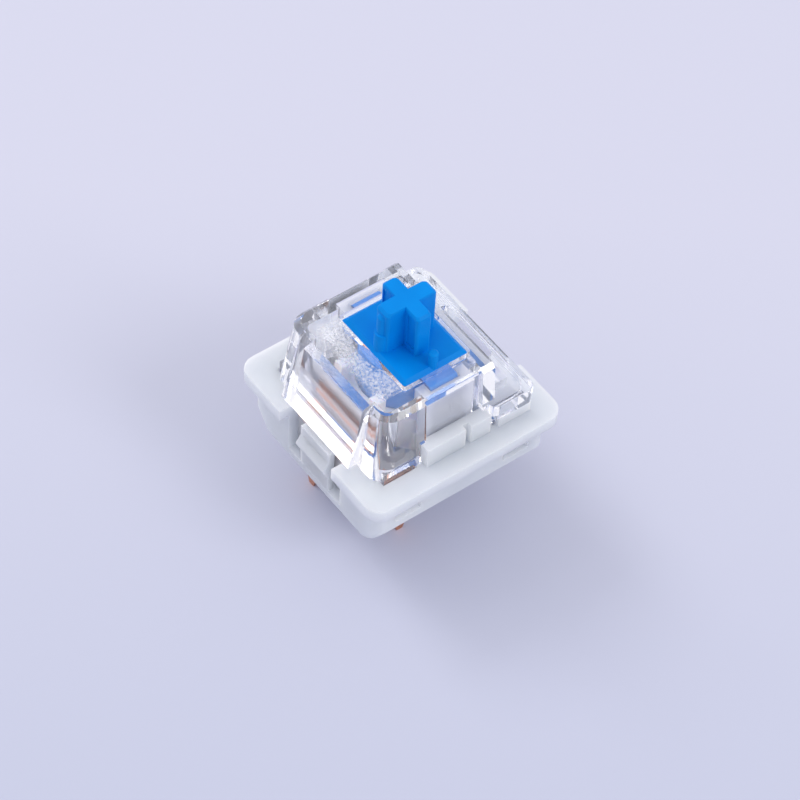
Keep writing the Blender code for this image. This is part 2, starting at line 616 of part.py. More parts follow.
def upper_housing():
    def ring(height, half, front, edge):
        return height, (-half + edge, half - edge), (-front + edge, SHELL_REAR), SHELL_CORNER

    part = loft("upper_housing", [
        ring(SHELL_FOOT, SHELL_HALF_FOOT, SHELL_FRONT_FOOT, 0),
        ring(TOP - SHELL_EDGE, SHELL_HALF_TOP, SHELL_FRONT_TOP, 0),
        ring(TOP, SHELL_HALF_TOP, SHELL_FRONT_TOP, SHELL_EDGE),
    ], PARTS)
    cut(part, box("above_ledge", (-BODY_SIZE, BODY_SIZE), (PLATEAU_REAR, BODY_SIZE),
                  (LEDGE_TOP, TOP + CUT_PAST)))
    ledge_x = (-LEDGE_HALF, LEDGE_HALF)
    ledge_y = (SILL_HALF_LENGTH + SLIDE_GAP, LEDGE_REAR)
    join(part, loft("ledge", [
        (REAR_SILL_TOP + SEAT_GAP, ledge_x, ledge_y, SHELL_CORNER / 2),
        (LEDGE_TOP, ledge_x, ledge_y, SHELL_CORNER / 2),
    ]))
    join(part, front_panel())
    recess = SIDE_RECESS_HALF
    for side in (-1, 1):
        word = "right" if side > 0 else "left"
        cut(part, box(f"side_recess_{word}", tuple(sorted((side * SIDE_WALL_OUTSIDE, side * BODY_SIZE))),
                      (-recess, recess), (SHELL_FOOT - CUT_PAST, TOP + CUT_PAST)))
        cut(part, box(f"wall_foot_{word}", tuple(sorted((side * SHELL_INNER_HALF / 2, side * BODY_SIZE))),
                      (-recess, recess), (SHELL_FOOT - CUT_PAST, SHELL_FOOT + SHELL_WALL / 2)))
        cut(part, box(f"sill_room_{word}", tuple(sorted((side * SIDE_WALL_OUTSIDE, side * BODY_SIZE))),
                      (-SILL_HALF_LENGTH - SLIDE_GAP, SILL_HALF_LENGTH + SLIDE_GAP),
                      (SHELL_FOOT - CUT_PAST, SILL_TOP + SLIDE_GAP)))
    hollow_x = (-SHELL_INNER_HALF, SHELL_INNER_HALF)
    hollow_y = (-SHELL_FRONT_TOP + SHELL_WALL, SHELL_INNER_REAR)
    cut(part, loft("shell_hollow", [
        (SHELL_FOOT - CUT_PAST, hollow_x, hollow_y, CAVITY_CORNER),
        (ROOF_UNDER, hollow_x, hollow_y, CAVITY_CORNER),
    ]))
    leaf_room = PANEL_HALF - PANEL_SIDE_WALL
    cut(part, box("leaf_room", (-leaf_room, leaf_room), (-PANEL_INSIDE, -SHELL_FRONT_TOP + SHELL_WALL * 2),
                  (SHELL_FOOT - CUT_PAST, ROOF_UNDER)))
    cut(part, box("ledge_hollow", hollow_x, (0, SHELL_REAR - SHELL_WALL),
                  (SHELL_FOOT - CUT_PAST, LEDGE_UNDER)))
    guide_x = GUIDE_OUTSIDE + SEAT_GAP
    guide_y = GUIDE_HALF + SEAT_GAP
    cut(part, box("guide_room", (-guide_x, guide_x), (-guide_y, guide_y),
                  (SHELL_FOOT - CUT_PAST, ROOF_UNDER)))
    window_x = (-WINDOW_HALF_X, WINDOW_HALF_X)
    window_y = (-WINDOW_HALF_Y, WINDOW_HALF_Y)
    cut(part, loft("window", [
        (ROOF_UNDER - CUT_PAST, window_x, window_y, HEAD_CORNER),
        (TOP + CUT_PAST, window_x, window_y, HEAD_CORNER),
    ]))
    middle = (LIGHT_SLOT_START + LIGHT_SLOT_END) / 2
    opening = (middle - LEDGE_SLOT_WIDTH / 2, middle + LEDGE_SLOT_WIDTH / 2)
    cut(part, loft("light_opening", [
        (LEDGE_UNDER - CUT_PAST, (-LIGHT_SLOT_HALF, LIGHT_SLOT_HALF), opening, LEDGE_SLOT_CORNER),
        (LEDGE_TOP + CUT_PAST, (-LIGHT_SLOT_HALF, LIGHT_SLOT_HALF), opening, LEDGE_SLOT_CORNER),
    ]))
    for side in (-1, 1):
        for end in (-1, 1):
            join(part, *snap_leg(side, end))
    return finish(part, "clear_polycarbonate", (0.93, 0.94, 0.97), 0.05, alpha=0.3)


def cross_bar(name, half_x, half_y):
    """Two opposite arms of the cross, drawn in a little along their top and more at their ends."""
    def ring(height, edge_x, edge_y):
        x = half_x - edge_x
        y = half_y - edge_y
        return height, (-x, x), (-y, y), CROSS_CORNER

    drawn_in = [CROSS_TIP_CHAMFER, CROSS_CHAMFER]
    if half_y > half_x:
        drawn_in.reverse()
    return loft(name, [
        ring(HEAD_TOP - HEAD_CHAMFER, 0, 0),
        ring(STEM_TOP - CROSS_TIP_CHAMFER, 0, 0),
        ring(STEM_TOP, *drawn_in),
    ])


def stem():
    half_x = HEAD_LENGTH / 2
    half_y = HEAD_WIDTH / 2

    def ring(height, edge):
        return height, (-half_x + edge, half_x - edge), (-half_y + edge, half_y - edge), HEAD_CORNER

    part = loft("stem", [
        ring(BARREL_TOP - BARREL_ROOF / 2, 0),
        ring(HEAD_TOP - HEAD_CHAMFER, 0),
        ring(HEAD_TOP, HEAD_CHAMFER),
    ], PARTS)
    join(part, cross_bar("cross_x_bar", CROSS_SIZE / 2, CROSS_X_BAR / 2))
    join(part, cross_bar("cross_y_bar", CROSS_Y_BAR / 2, CROSS_SIZE / 2))
    panel_x = (CROSS_Y_BAR / 2 + CROSS_SIZE / 2) / 2
    for side in (-1, 1):
        for face in (-1, 1):
            middle = side * panel_x
            depth = sorted((face * (CROSS_X_BAR / 2 - CROSS_PANEL_DEPTH), face * CROSS_X_BAR))
            cut(part, box(f"cross_panel_{'right' if side > 0 else 'left'}_{'rear' if face > 0 else 'front'}",
                          (middle - CROSS_PANEL_LENGTH / 2, middle + CROSS_PANEL_LENGTH / 2), depth,
                          (HEAD_TOP + CROSS_PANEL_DROP, STEM_TOP - CROSS_PANEL_DROP)))
    join(part, turned("gate_rib", [
        (0, HEAD_TOP + GATE_HEIGHT),
        (GATE_TIP_RADIUS, HEAD_TOP + GATE_HEIGHT),
        (GATE_RADIUS, HEAD_TOP + GATE_HEIGHT - GATE_TIP_RADIUS),
        (GATE_RADIUS, HEAD_TOP + GATE_SHOULDER_HEIGHT),
        (GATE_SHOULDER_RADIUS, HEAD_TOP + GATE_SHOULDER_HEIGHT),
        (GATE_SHOULDER_RADIUS, HEAD_TOP - HEAD_CHAMFER),
        (0, HEAD_TOP - HEAD_CHAMFER),
    ], steps=FINE_STEPS, centre=(0, -CROSS_SIZE / 2 + GATE_SET_IN)))
    join(part, turned("pip", [
        (0, HEAD_TOP + PIP_HEIGHT),
        (PIP_RADIUS - PIP_EDGE, HEAD_TOP + PIP_HEIGHT),
        (PIP_RADIUS, HEAD_TOP + PIP_HEIGHT - PIP_EDGE),
        (PIP_RADIUS, HEAD_TOP - 2 * HEAD_CHAMFER),
        (0, HEAD_TOP - 2 * HEAD_CHAMFER),
    ], steps=FINE_STEPS, centre=(half_x - PIP_SET_IN - PIP_RADIUS, 0)))
    barrel = turned("barrel", [
        (0, BARREL_TOP),
        (BARREL_RADIUS, BARREL_TOP),
        (BARREL_RADIUS, BARREL_END),
        (BARREL_INSIDE, BARREL_END),
        (BARREL_INSIDE, SPRING_CEILING),
        (POLE_RADIUS, SPRING_CEILING),
        (POLE_RADIUS, POLE_END + POLE_TIP_LENGTH),
        (POLE_TIP_RADIUS, POLE_END),
        (0, POLE_END),
    ])
    cut(barrel, box("barrel_back", (-BODY_SIZE, BODY_SIZE), (BARREL_BACK, BODY_SIZE), (0, TOP)))
    join(part, barrel)
    for side in (-1, 1):
        rail = [
            (side * RAIL_ROOT, BARREL_TOP),
            (side * (RAIL_REACH - RAIL_CHAMFER), BARREL_TOP),
            (side * RAIL_REACH, BARREL_TOP - RAIL_CHAMFER),
            (side * RAIL_REACH, BARREL_TOP - RAIL_LENGTH),
            (side * RAIL_ROOT, BARREL_TOP - RAIL_LENGTH),
        ]
        join(part, prism(f"rail_{'right' if side > 0 else 'left'}", "XZ", rail, (-RAIL_HALF, RAIL_HALF)))
    return finish(part, "blue_acetal", (0.0, 0.22, 0.80), 0.40)


def click_jacket():
    """A collar on the barrel, open behind, with wings in the guide channels and two cam legs."""
    part = turned("click_jacket", [
        (JACKET_OUTSIDE, JACKET_TOP),
        (JACKET_OUTSIDE, JACKET_FOOT),
        (JACKET_INSIDE, JACKET_FOOT),
        (JACKET_INSIDE, JACKET_TOP),
    ], closed=True, group=PARTS)
    cut(part, box("jacket_opening", (-BODY_SIZE, BODY_SIZE), (JACKET_BACK, BODY_SIZE),
                  (JACKET_FOOT - CUT_PAST, JACKET_TOP + CUT_PAST)))
    root = (JACKET_INSIDE + JACKET_OUTSIDE) / 2
    for side in (-1, 1):
        word = "right" if side > 0 else "left"
        join(part, box(f"wing_{word}", tuple(sorted((side * root, side * RAIL_REACH))),
                       (-RAIL_HALF, JACKET_BACK), (JACKET_FOOT, JACKET_TOP)))
        inner = JACKET_LEG_INNER
        outer = inner + JACKET_LEG_WIDTH
        back = -math.sqrt(root ** 2 - inner ** 2)
        top = JACKET_TOP + JACKET_LEG_RISE
        leg = [
            (back, JACKET_FOOT),
            (-JACKET_LEG_OUT + JACKET_LEG_TOE, JACKET_FOOT),
            (-JACKET_LEG_OUT, JACKET_FOOT + JACKET_LEG_TOE),
            (-JACKET_LEG_OUT, top - JACKET_CAM_DROP),
            (-JACKET_LEG_OUT + JACKET_CAM_BACK, top),
            (back, top),
        ]
        join(part, prism(f"cam_leg_{word}", "YZ", leg, tuple(sorted((side * inner, side * outer)))))
    return finish(part, "white_acetal", (0.85, 0.85, 0.83), 0.40)


def return_spring():
    """A coil with a closed turn at each end, between the housing's floor and the barrel's ceiling."""
    half_wire = SPRING_WIRE / 2
    low = FLOOR + SEAT_GAP + half_wire
    high = SPRING_CEILING - SEAT_GAP - half_wire
    end_rise = SPRING_END_TURNS * SPRING_END_PITCH
    pitch = (high - low - 2 * end_rise) / SPRING_TURNS
    turns = SPRING_TURNS + 2 * SPRING_END_TURNS
    curve = bpy.data.curves.new("return_spring", "CURVE")
    curve.dimensions = "3D"
    curve.bevel_depth = half_wire
    curve.bevel_resolution = 2
    curve.use_fill_caps = True
    spline = curve.splines.new("POLY")
    count = turns * SPRING_STEPS + 1
    spline.points.add(count - 1)
    for i, point in enumerate(spline.points):
        turn = i / SPRING_STEPS
        first = min(turn, SPRING_END_TURNS)
        last = max(turn - SPRING_END_TURNS - SPRING_TURNS, 0)
        height = low + (first + last) * SPRING_END_PITCH + (turn - first - last) * pitch
        angle = 2 * math.pi * turn
        point.co = (SPRING_RADIUS * math.cos(angle), SPRING_RADIUS * math.sin(angle), height, 1)
    part = bpy.data.objects.new("return_spring", curve)
    bpy.data.collections[PARTS].objects.link(part)
    return finish(part, "spring_steel", (0.60, 0.60, 0.62), 0.25, 1.0)


def pin_outline(middle, top):
    """A flat pin that narrows at its tip, as half widths about its middle."""
    wide = PIN_WIDTH / 2
    tip = PIN_TIP_WIDTH / 2
    return [
        (middle - wide, top),
        (middle - wide, PIN_TIP_LENGTH),
        (middle - tip, 0),
        (middle + tip, 0),
        (middle + wide, PIN_TIP_LENGTH),
        (middle + wide, top),
    ]


def fixed_terminal():
    """Bent sheet: a pin, a low wall round the corner and a tongue that carries the contact bar."""
    half = TERMINAL_SHEET / 2
    wall = strip_outline([
        (FIXED_PIN_X, FIXED_PIN_Y + PIN_WIDTH / 2),
        (FIXED_PIN_X, FIXED_PLATE_Y),
        (FIXED_PLATE_END, FIXED_PLATE_Y),
    ], TERMINAL_SHEET)
    part = prism("fixed_terminal", "XY", wall, (TERMINAL_FOOT, TERMINAL_FOOT + FIXED_PLATE_HEIGHT), PARTS)
    middle = TERMINAL_FOOT + FIXED_PLATE_HEIGHT / 2
    sheet = (FIXED_PLATE_Y - half, FIXED_PLATE_Y + half)
    join(part, box("tongue", (-FIXED_TONGUE_HALF, FIXED_TONGUE_HALF), sheet,
                   (middle, CONTACT_Z + FIXED_TONGUE_ABOVE)))
    join(part, prism("fixed_pin", "YZ", pin_outline(FIXED_PIN_Y, middle),
                     (FIXED_PIN_X - half, FIXED_PIN_X + half)))
    return finish(part, "fixed_copper_alloy", (0.80, 0.42, 0.26), 0.30, 1.0)


def leaf_terminal():
    """Bent sheet: a pin, a short foot over the floor and an upright plate that carries the leaf."""
    half = TERMINAL_SHEET / 2
    top = TERMINAL_FOOT + LEAF_TERMINAL_HEIGHT
    part = box("leaf_terminal", (-LEAF_TERMINAL_HALF, LEAF_TERMINAL_HALF),
               (LEAF_TERMINAL_Y - half, LEAF_TERMINAL_Y + half), (TERMINAL_FOOT, top), PARTS)
    join(part, box("terminal_foot", (LEAF_PIN_X - PIN_WIDTH / 2, LEAF_PIN_X + PIN_WIDTH / 2),
                   (LEAF_TERMINAL_Y - half, LEAF_PIN_Y + half),
                   (TERMINAL_FOOT, TERMINAL_FOOT + TERMINAL_SHEET)))
    join(part, prism("leaf_pin", "XZ", pin_outline(LEAF_PIN_X, TERMINAL_FOOT + TERMINAL_SHEET / 2),
                     (LEAF_PIN_Y - half, LEAF_PIN_Y + half)))
    return finish(part, "leaf_copper_alloy", (0.80, 0.42, 0.26), 0.30, 1.0)


def contact_leaf():
    """Thin spring sheet: a foot, two arms with ears that ride on the cam legs, and a cross strip."""
    half = LEAF_SHEET / 2
    flat = (LEAF_Y - half, LEAF_Y + half)
    part = box("contact_leaf", (-LEAF_FOOT_HALF, LEAF_FOOT_HALF), flat,
               (LEAF_FOOT, LEAF_FOOT + LEAF_FOOT_HEIGHT), PARTS)
    arm = strip_outline([
        (LEAF_Y, LEAF_FOOT + LEAF_FOOT_HEIGHT / 2),
        (LEAF_Y, LEAF_TOP),
        (EAR_Y, LEAF_TOP),
        (EAR_Y, LEAF_TOP - LEAF_EAR_DROP),
    ], LEAF_SHEET)
    for side in (-1, 1):
        reach = tuple(sorted((side * LEAF_ARM_INNER, side * (LEAF_ARM_INNER + LEAF_ARM_WIDTH))))
        join(part, prism(f"leaf_arm_{'right' if side > 0 else 'left'}", "YZ", arm, reach))
    into_arms = LEAF_ARM_INNER + LEAF_ARM_WIDTH / 4
    join(part, box("leaf_cross_strip", (-into_arms, into_arms), flat,
                   (CONTACT_Z - LEAF_BAR_HEIGHT / 2, CONTACT_Z + LEAF_BAR_HEIGHT / 2)))
    origin_to(part, (0, LEAF_Y, LEAF_FOOT))
    return finish(part, "spring_copper_alloy", (0.85, 0.48, 0.28), 0.25, 1.0)


def contact_bars():
    """Two crossed three-sided bars of contact metal, one on the leaf and one on the fixed tongue."""
    face = LEAF_Y + LEAF_SHEET / 2 + WELD_GAP
    half = CONTACT_BAR_WIDTH / 2
    moving = prism("leaf_contact_bar", "YZ", [
        (face, CONTACT_Z - half),
        (face + CONTACT_BAR_RISE, CONTACT_Z),
        (face, CONTACT_Z + half),
    ], (-CONTACT_BAR_LENGTH / 2, CONTACT_BAR_LENGTH / 2), PARTS)
    finish(moving, "leaf_contact_gold", (0.95, 0.72, 0.35), 0.25, 1.0)
    face = FIXED_PLATE_Y - TERMINAL_SHEET / 2 - WELD_GAP
    still = prism("fixed_contact_bar", "XY", [
        (-half, face),
        (0, face - CONTACT_BAR_RISE),
        (half, face),
    ], (CONTACT_Z - CONTACT_BAR_LENGTH / 2, CONTACT_Z + CONTACT_BAR_LENGTH / 2), PARTS)
    finish(still, "fixed_contact_gold", (0.95, 0.72, 0.35), 0.25, 1.0)
    origin_to(moving, (0, LEAF_Y, LEAF_FOOT))


def origin_to(part, place):
    """Moves a part's origin onto its joint's axis and leaves the shape where it is."""
    part.data.transform(Matrix.Translation(-Vector(place)))
    part.location = place


def main():
    clear_scene()
    lower_housing()
    upper_housing()
    stem()
    click_jacket()
    return_spring()
    fixed_terminal()
    leaf_terminal()
    contact_leaf()
    contact_bars()


main()
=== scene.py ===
# %% [markdown]
# # A clear-topped keyboard switch
#
# The switch is a small snap-together machine, 15.6 mm square. A clear cover snaps over a milky base, and
# between them stand a blue plunger, a coil spring, a loose click jacket and two copper contacts.
# The frame gives the pieces where they belong and how they move. This lesson gives them their finish:
# rounded moulded edges, materials that pass light as the real plastics do, and the soft studio light.

# %% Load the frame
import json
import math

import bmesh
import bpy
from mathutils import Matrix, Vector

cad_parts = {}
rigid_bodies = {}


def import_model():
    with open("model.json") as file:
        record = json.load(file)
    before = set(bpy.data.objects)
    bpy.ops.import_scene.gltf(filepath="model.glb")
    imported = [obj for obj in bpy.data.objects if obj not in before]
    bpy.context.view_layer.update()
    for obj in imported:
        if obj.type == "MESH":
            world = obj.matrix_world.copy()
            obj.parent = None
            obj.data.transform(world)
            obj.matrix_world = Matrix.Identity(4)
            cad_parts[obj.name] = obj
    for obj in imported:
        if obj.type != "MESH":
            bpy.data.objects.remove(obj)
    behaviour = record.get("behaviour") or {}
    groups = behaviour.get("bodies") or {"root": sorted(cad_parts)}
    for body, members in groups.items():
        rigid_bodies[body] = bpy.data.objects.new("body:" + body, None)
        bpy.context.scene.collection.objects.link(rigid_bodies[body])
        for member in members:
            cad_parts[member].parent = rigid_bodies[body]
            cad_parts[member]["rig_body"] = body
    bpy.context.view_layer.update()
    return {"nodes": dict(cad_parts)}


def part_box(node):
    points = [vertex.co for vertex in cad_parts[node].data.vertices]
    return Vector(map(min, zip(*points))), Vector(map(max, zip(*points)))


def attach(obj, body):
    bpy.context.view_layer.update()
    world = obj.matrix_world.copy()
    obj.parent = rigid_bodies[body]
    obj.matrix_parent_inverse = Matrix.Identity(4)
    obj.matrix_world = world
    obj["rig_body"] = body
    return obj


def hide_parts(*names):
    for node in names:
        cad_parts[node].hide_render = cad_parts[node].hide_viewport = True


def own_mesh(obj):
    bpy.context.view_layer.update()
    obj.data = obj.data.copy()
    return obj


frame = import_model()
MM = 0.001
print("nodes:", sorted(frame["nodes"]))

# %% [markdown]
# ## Helpers for node trees
#
# Every material here is a tree of nodes. It could be drawn by hand in the shader editor, but a script says
# every number and gives the same result each time. `hex_colour` turns a colour that was read off as sRGB
# hex into the linear numbers that shaders want. `add_node` adds any node in a single call: an input that is
# given as a node or a socket is linked, and one that is given as a value is set. Patterns are scaled from
# real millimetres, so `per_mm` turns the size of a grain into the scale of a noise texture.

# %% Helpers for node trees
def hex_colour(text):
    """Linear RGBA of an sRGB colour written as six hex digits."""
    channels = [int(text[i:i + 2], 16) / 255 for i in (0, 2, 4)]
    linear = [c / 12.92 if c <= 0.04045 else ((c + 0.055) / 1.055) ** 2.4 for c in channels]
    return (*linear, 1.0)


def add_node(tree, kind, inputs=None, **settings):
    """One node with its settings and inputs. A node given as an input is linked by its first output."""
    node = tree.nodes.new(kind)
    for name, value in settings.items():
        setattr(node, name, value)
    for name, value in (inputs or {}).items():
        if isinstance(value, bpy.types.Node):
            value = value.outputs[0]
        if isinstance(value, bpy.types.NodeSocket):
            tree.links.new(value, node.inputs[name])
        else:
            node.inputs[name].default_value = value
    return node


def new_material(name):
    """A material, its empty tree, and the Object coordinates that all its patterns lie on."""
    material = bpy.data.materials.new(name)
    material.use_nodes = True
    material.node_tree.nodes.clear()
    place = add_node(material.node_tree, "ShaderNodeTexCoord").outputs["Object"]
    return material, material.node_tree, place


def per_mm(size):
    """Scale of a texture whose grains are this many millimetres apart."""
    return 1 / (size * MM)


print("helpers ready")

# %% [markdown]
# ## The skin of a moulded plastic
#
# Molten plastic flows through the mould, and slow streaks of that flow stay in its colour and its shine.
# The mould was spark-eroded, and leaves a fine satin grain. An even colour would look like paint, so both
# are made from noise: a wide one for the flow, and a narrow one for the grain. The real grain is finer
# than a picture of this size can show, and is drawn about a tenth of a millimetre wide. The nylon and the
# acetal share this skin, so one function makes it.

# %% Skin of a moulded plastic
FLOW_SPAN = (0.3, 0.7)  # where the flow's noise reaches its darker and its lighter tone
GRAIN_DEPTH = 0.01 * MM


def moulded_skin(tree, place, tones, flow_mm, grain_mm, grain_strength, roughness):
    """The shader inputs of a moulded surface. Tones and roughness each go from the first to the second."""
    flow = add_node(tree, "ShaderNodeTexNoise", {"Vector": place, "Scale": per_mm(flow_mm), "Detail": 2.0})
    colour = add_node(tree, "ShaderNodeValToRGB", {"Fac": flow})
    for stop, position, tone in zip(colour.color_ramp.elements, FLOW_SPAN, tones):
        stop.position = position
        stop.color = hex_colour(tone)
    shine = add_node(tree, "ShaderNodeMapRange",
                     {"Value": flow, "To Min": roughness[0], "To Max": roughness[1]})
    grain = add_node(tree, "ShaderNodeTexNoise", {"Vector": place, "Scale": per_mm(grain_mm), "Detail": 3.0})
    bump = add_node(tree, "ShaderNodeBump",
                    {"Height": grain, "Strength": grain_strength, "Distance": GRAIN_DEPTH})
    return {"Base Color": colour, "Roughness": shine, "Normal": bump}


print("moulded skin ready")

# %% [markdown]
# ## Milky nylon
#
# The base is moulded from unfilled nylon, which is white because it scatters light inside, and not
# because it is painted. Its edges let light through and its shadows are soft and pale. A real volume
# inside the base would show this too, but slowly and with noise. Here subsurface scattering gives the
# first, and shadow rays that pass it in part give the second.

# %% Milky nylon
NYLON_PASSES = 0.45  # share of a lamp's light that comes out behind the base


def milky_nylon():
    """Unfilled nylon, moulded: satin, cool white, and lit from within at its edges."""
    material, tree, place = new_material("milky_nylon_moulded")
    skin = moulded_skin(tree, place, ("CBD0D8", "D5DAE0"), flow_mm=4.0, grain_mm=0.12, grain_strength=0.12,
                        roughness=(0.36, 0.48))
    nylon = add_node(tree, "ShaderNodeBsdfPrincipled", {
        **skin, "IOR": 1.53, "Specular IOR Level": 0.35,
        "Subsurface Weight": 1.0, "Subsurface Scale": 3.0 * MM, "Subsurface Radius": (1.0, 0.98, 0.95),
    })
    straight = add_node(tree, "ShaderNodeBsdfTransparent")
    ray = add_node(tree, "ShaderNodeLightPath").outputs
    passed = add_node(tree, "ShaderNodeMath", {0: ray["Is Shadow Ray"], 1: NYLON_PASSES},
                      operation="MULTIPLY")
    both = add_node(tree, "ShaderNodeMixShader", {0: passed, 1: nylon, 2: straight})
    add_node(tree, "ShaderNodeOutputMaterial", {"Surface": both})
    return material


MILKY = milky_nylon()
print("made", MILKY.name)

# %% [markdown]
# ## The etched strip
#
# In front of the stem a strip of the clear roof is etched, which makes it hazy and flecked. It could be a
# thin piece of its own, but it is only a finish on the cover's skin. So a few nodes say where it is: on
# the roof, in front of the window, clear of the round barrel below, and fading out towards the front.

# %% Etched strip
STRIP_HALF_WIDTH = 3.5 * MM
STRIP_FADES = (-4.9 * MM, -4.2 * MM)  # along Y, from no etching to full etching
WINDOW_FRONT = -2.75 * MM
BARREL_CLEARING = 3.45 * MM  # radius around the stem's middle that stays clear
ROOF_STARTS = 13.0 * MM  # height over which the cover is its roof


def etched_strip(tree, place):
    """1 on the etched strip of the roof, and 0 elsewhere."""
    axes = add_node(tree, "ShaderNodeSeparateXYZ", {"Vector": place}).outputs
    side = add_node(tree, "ShaderNodeMath", {0: axes["X"]}, operation="ABSOLUTE")
    flat = add_node(tree, "ShaderNodeCombineXYZ", {"X": axes["X"], "Y": axes["Y"]})
    radius = add_node(tree, "ShaderNodeVectorMath", {0: flat}, operation="LENGTH").outputs["Value"]
    share = add_node(tree, "ShaderNodeMapRange",
                     {"Value": axes["Y"], "From Min": STRIP_FADES[0], "From Max": STRIP_FADES[1]})
    for measure, operation, limit in (
        (side, "LESS_THAN", STRIP_HALF_WIDTH),
        (axes["Y"], "LESS_THAN", WINDOW_FRONT),
        (radius, "GREATER_THAN", BARREL_CLEARING),
        (axes["Z"], "GREATER_THAN", ROOF_STARTS),
    ):
        inside = add_node(tree, "ShaderNodeMath", {0: measure, 1: limit}, operation=operation)
        share = add_node(tree, "ShaderNodeMath", {0: share, 1: inside}, operation="MULTIPLY")
    return share


print("etched strip ready")

# %% [markdown]
# ## Clear polycarbonate
#
# The cover is clear polycarbonate from a polished mould. It bends light strongly (its index is 1.585),
# so its corners flash. A see-through shader alone would show a flat film. The walls are real solids with
# an inside and an outside, so a glass-like shader shows what lies behind them as the real plastic does.
# The light that falls in through a clear wall also has to reach the pieces behind it. So shadow rays and
# diffuse rays pass straight through, and so does a ray that has been turned back inside many times, which
# would otherwise end as a black edge. A very faint waviness keeps the reflections from looking drawn with
# a ruler.

# %% Clear polycarbonate
CLEARNESS = 0.97  # share of the light that the polished plastic bends through
ETCHED_HAZE = 0.4  # how much of that the densest flecks take away
ETCHED_PITS = 0.7  # strength of the etched pits
ETCHED_ROUGHNESS = 0.18
TURNED_BACK = 2.5  # a ray that is turned back more often than this goes straight out


def clear_polycarbonate():
    """Polished clear polycarbonate: bends what lies behind it, lights up inside, has a slight cool tint."""
    material, tree, place = new_material("clear_polycarbonate_polished")
    etched = etched_strip(tree, place)
    wave = add_node(tree, "ShaderNodeTexNoise", {"Vector": place, "Scale": per_mm(2.5), "Detail": 1.0})
    spark = add_node(tree, "ShaderNodeTexNoise", {"Vector": place, "Scale": per_mm(0.2), "Detail": 2.0})

    polish = add_node(tree, "ShaderNodeMapRange", {"Value": wave, "To Min": 0.01, "To Max": 0.04})
    dulled = add_node(tree, "ShaderNodeMath", {0: etched, 1: ETCHED_ROUGHNESS}, operation="MULTIPLY")
    roughness = add_node(tree, "ShaderNodeMath", {0: polish, 1: dulled}, operation="MAXIMUM")

    flecks = add_node(tree, "ShaderNodeMapRange", {"Value": spark, "From Min": 0.36, "From Max": 0.66})
    flecked = add_node(tree, "ShaderNodeMath", {0: etched, 1: flecks}, operation="MULTIPLY")
    haze = add_node(tree, "ShaderNodeMath", {0: flecked, 1: ETCHED_HAZE}, operation="MULTIPLY")
    clearness = add_node(tree, "ShaderNodeMath", {0: CLEARNESS, 1: haze}, operation="SUBTRACT")

    pits = add_node(tree, "ShaderNodeMath", {0: etched, 1: ETCHED_PITS}, operation="MULTIPLY")
    pitted = add_node(tree, "ShaderNodeBump", {"Height": spark, "Strength": pits, "Distance": 0.06 * MM})
    waved = add_node(tree, "ShaderNodeBump",
                     {"Height": wave, "Normal": pitted, "Strength": 0.06, "Distance": 0.02 * MM})
    glass = add_node(tree, "ShaderNodeBsdfPrincipled", {
        "Base Color": hex_colour("FAFAFE"), "IOR": 1.585, "Roughness": roughness, "Normal": waved,
        "Transmission Weight": clearness,
    })

    straight = add_node(tree, "ShaderNodeBsdfTransparent", {"Color": hex_colour("FCFCFE")})
    ray = add_node(tree, "ShaderNodeLightPath").outputs
    lighting = add_node(tree, "ShaderNodeMath", {0: ray["Is Shadow Ray"], 1: ray["Is Diffuse Ray"]},
                        operation="MAXIMUM")
    trapped = add_node(tree, "ShaderNodeMath", {0: ray["Glossy Depth"], 1: TURNED_BACK},
                       operation="GREATER_THAN")
    passed = add_node(tree, "ShaderNodeMath", {0: lighting, 1: trapped}, operation="MAXIMUM")
    both = add_node(tree, "ShaderNodeMixShader", {0: passed, 1: glass, 2: straight})
    add_node(tree, "ShaderNodeOutputMaterial", {"Surface": both})
    return material


CLEAR = clear_polycarbonate()
print("made", CLEAR.name)

# %% [markdown]
# ## Acetal, blue and white
#
# The plunger and the click jacket are acetal, a slippery opaque plastic that is self-coloured right
# through. It has a waxy satin shine and takes the mould's grain faithfully. The white carries a little
# light under its skin, and the strong blue pigment stops it. One function makes both, because only the
# colour, the gloss and that glow differ.

# %% Acetal
def acetal(name, tones, gloss, glow):
    """Self-coloured acetal, moulded: waxy satin, with a little light carried under the skin."""
    material, tree, place = new_material(name)
    skin = moulded_skin(tree, place, tones, flow_mm=2.0, grain_mm=0.10, grain_strength=0.15,
                        roughness=(0.38, 0.50))
    plastic = add_node(tree, "ShaderNodeBsdfPrincipled", {
        **skin, "IOR": 1.48, "Specular IOR Level": gloss,
        "Subsurface Weight": glow, "Subsurface Scale": 0.3 * MM,
    })
    add_node(tree, "ShaderNodeOutputMaterial", {"Surface": plastic})
    return material


BLUE = acetal("blue_acetal_moulded", ("0081DA", "0089E2"), gloss=0.08, glow=0.0)
WHITE = acetal("white_acetal_moulded", ("E6E8EC", "EFF0F3"), gloss=0.5, glow=0.3)
print("made", BLUE.name, WHITE.name)

# %% [markdown]
# ## Metals
#
# The contacts are stamped from copper alloy strip, so a faint grain runs along the strip. The crossed
# contact bars are drawn from gold alloy wire, and the spring from bright steel wire. Brushed lines could
# come from an anisotropic shader, but the marks are so short here that stretched noise in bump and
# roughness is closer. Metals keep the default index, and their colour does the work.

# %% Metals
ALONG_STRIP = (0.15, 1.0, 1.0)  # marks drawn out along X
EVEN = (1.0, 1.0, 1.0)


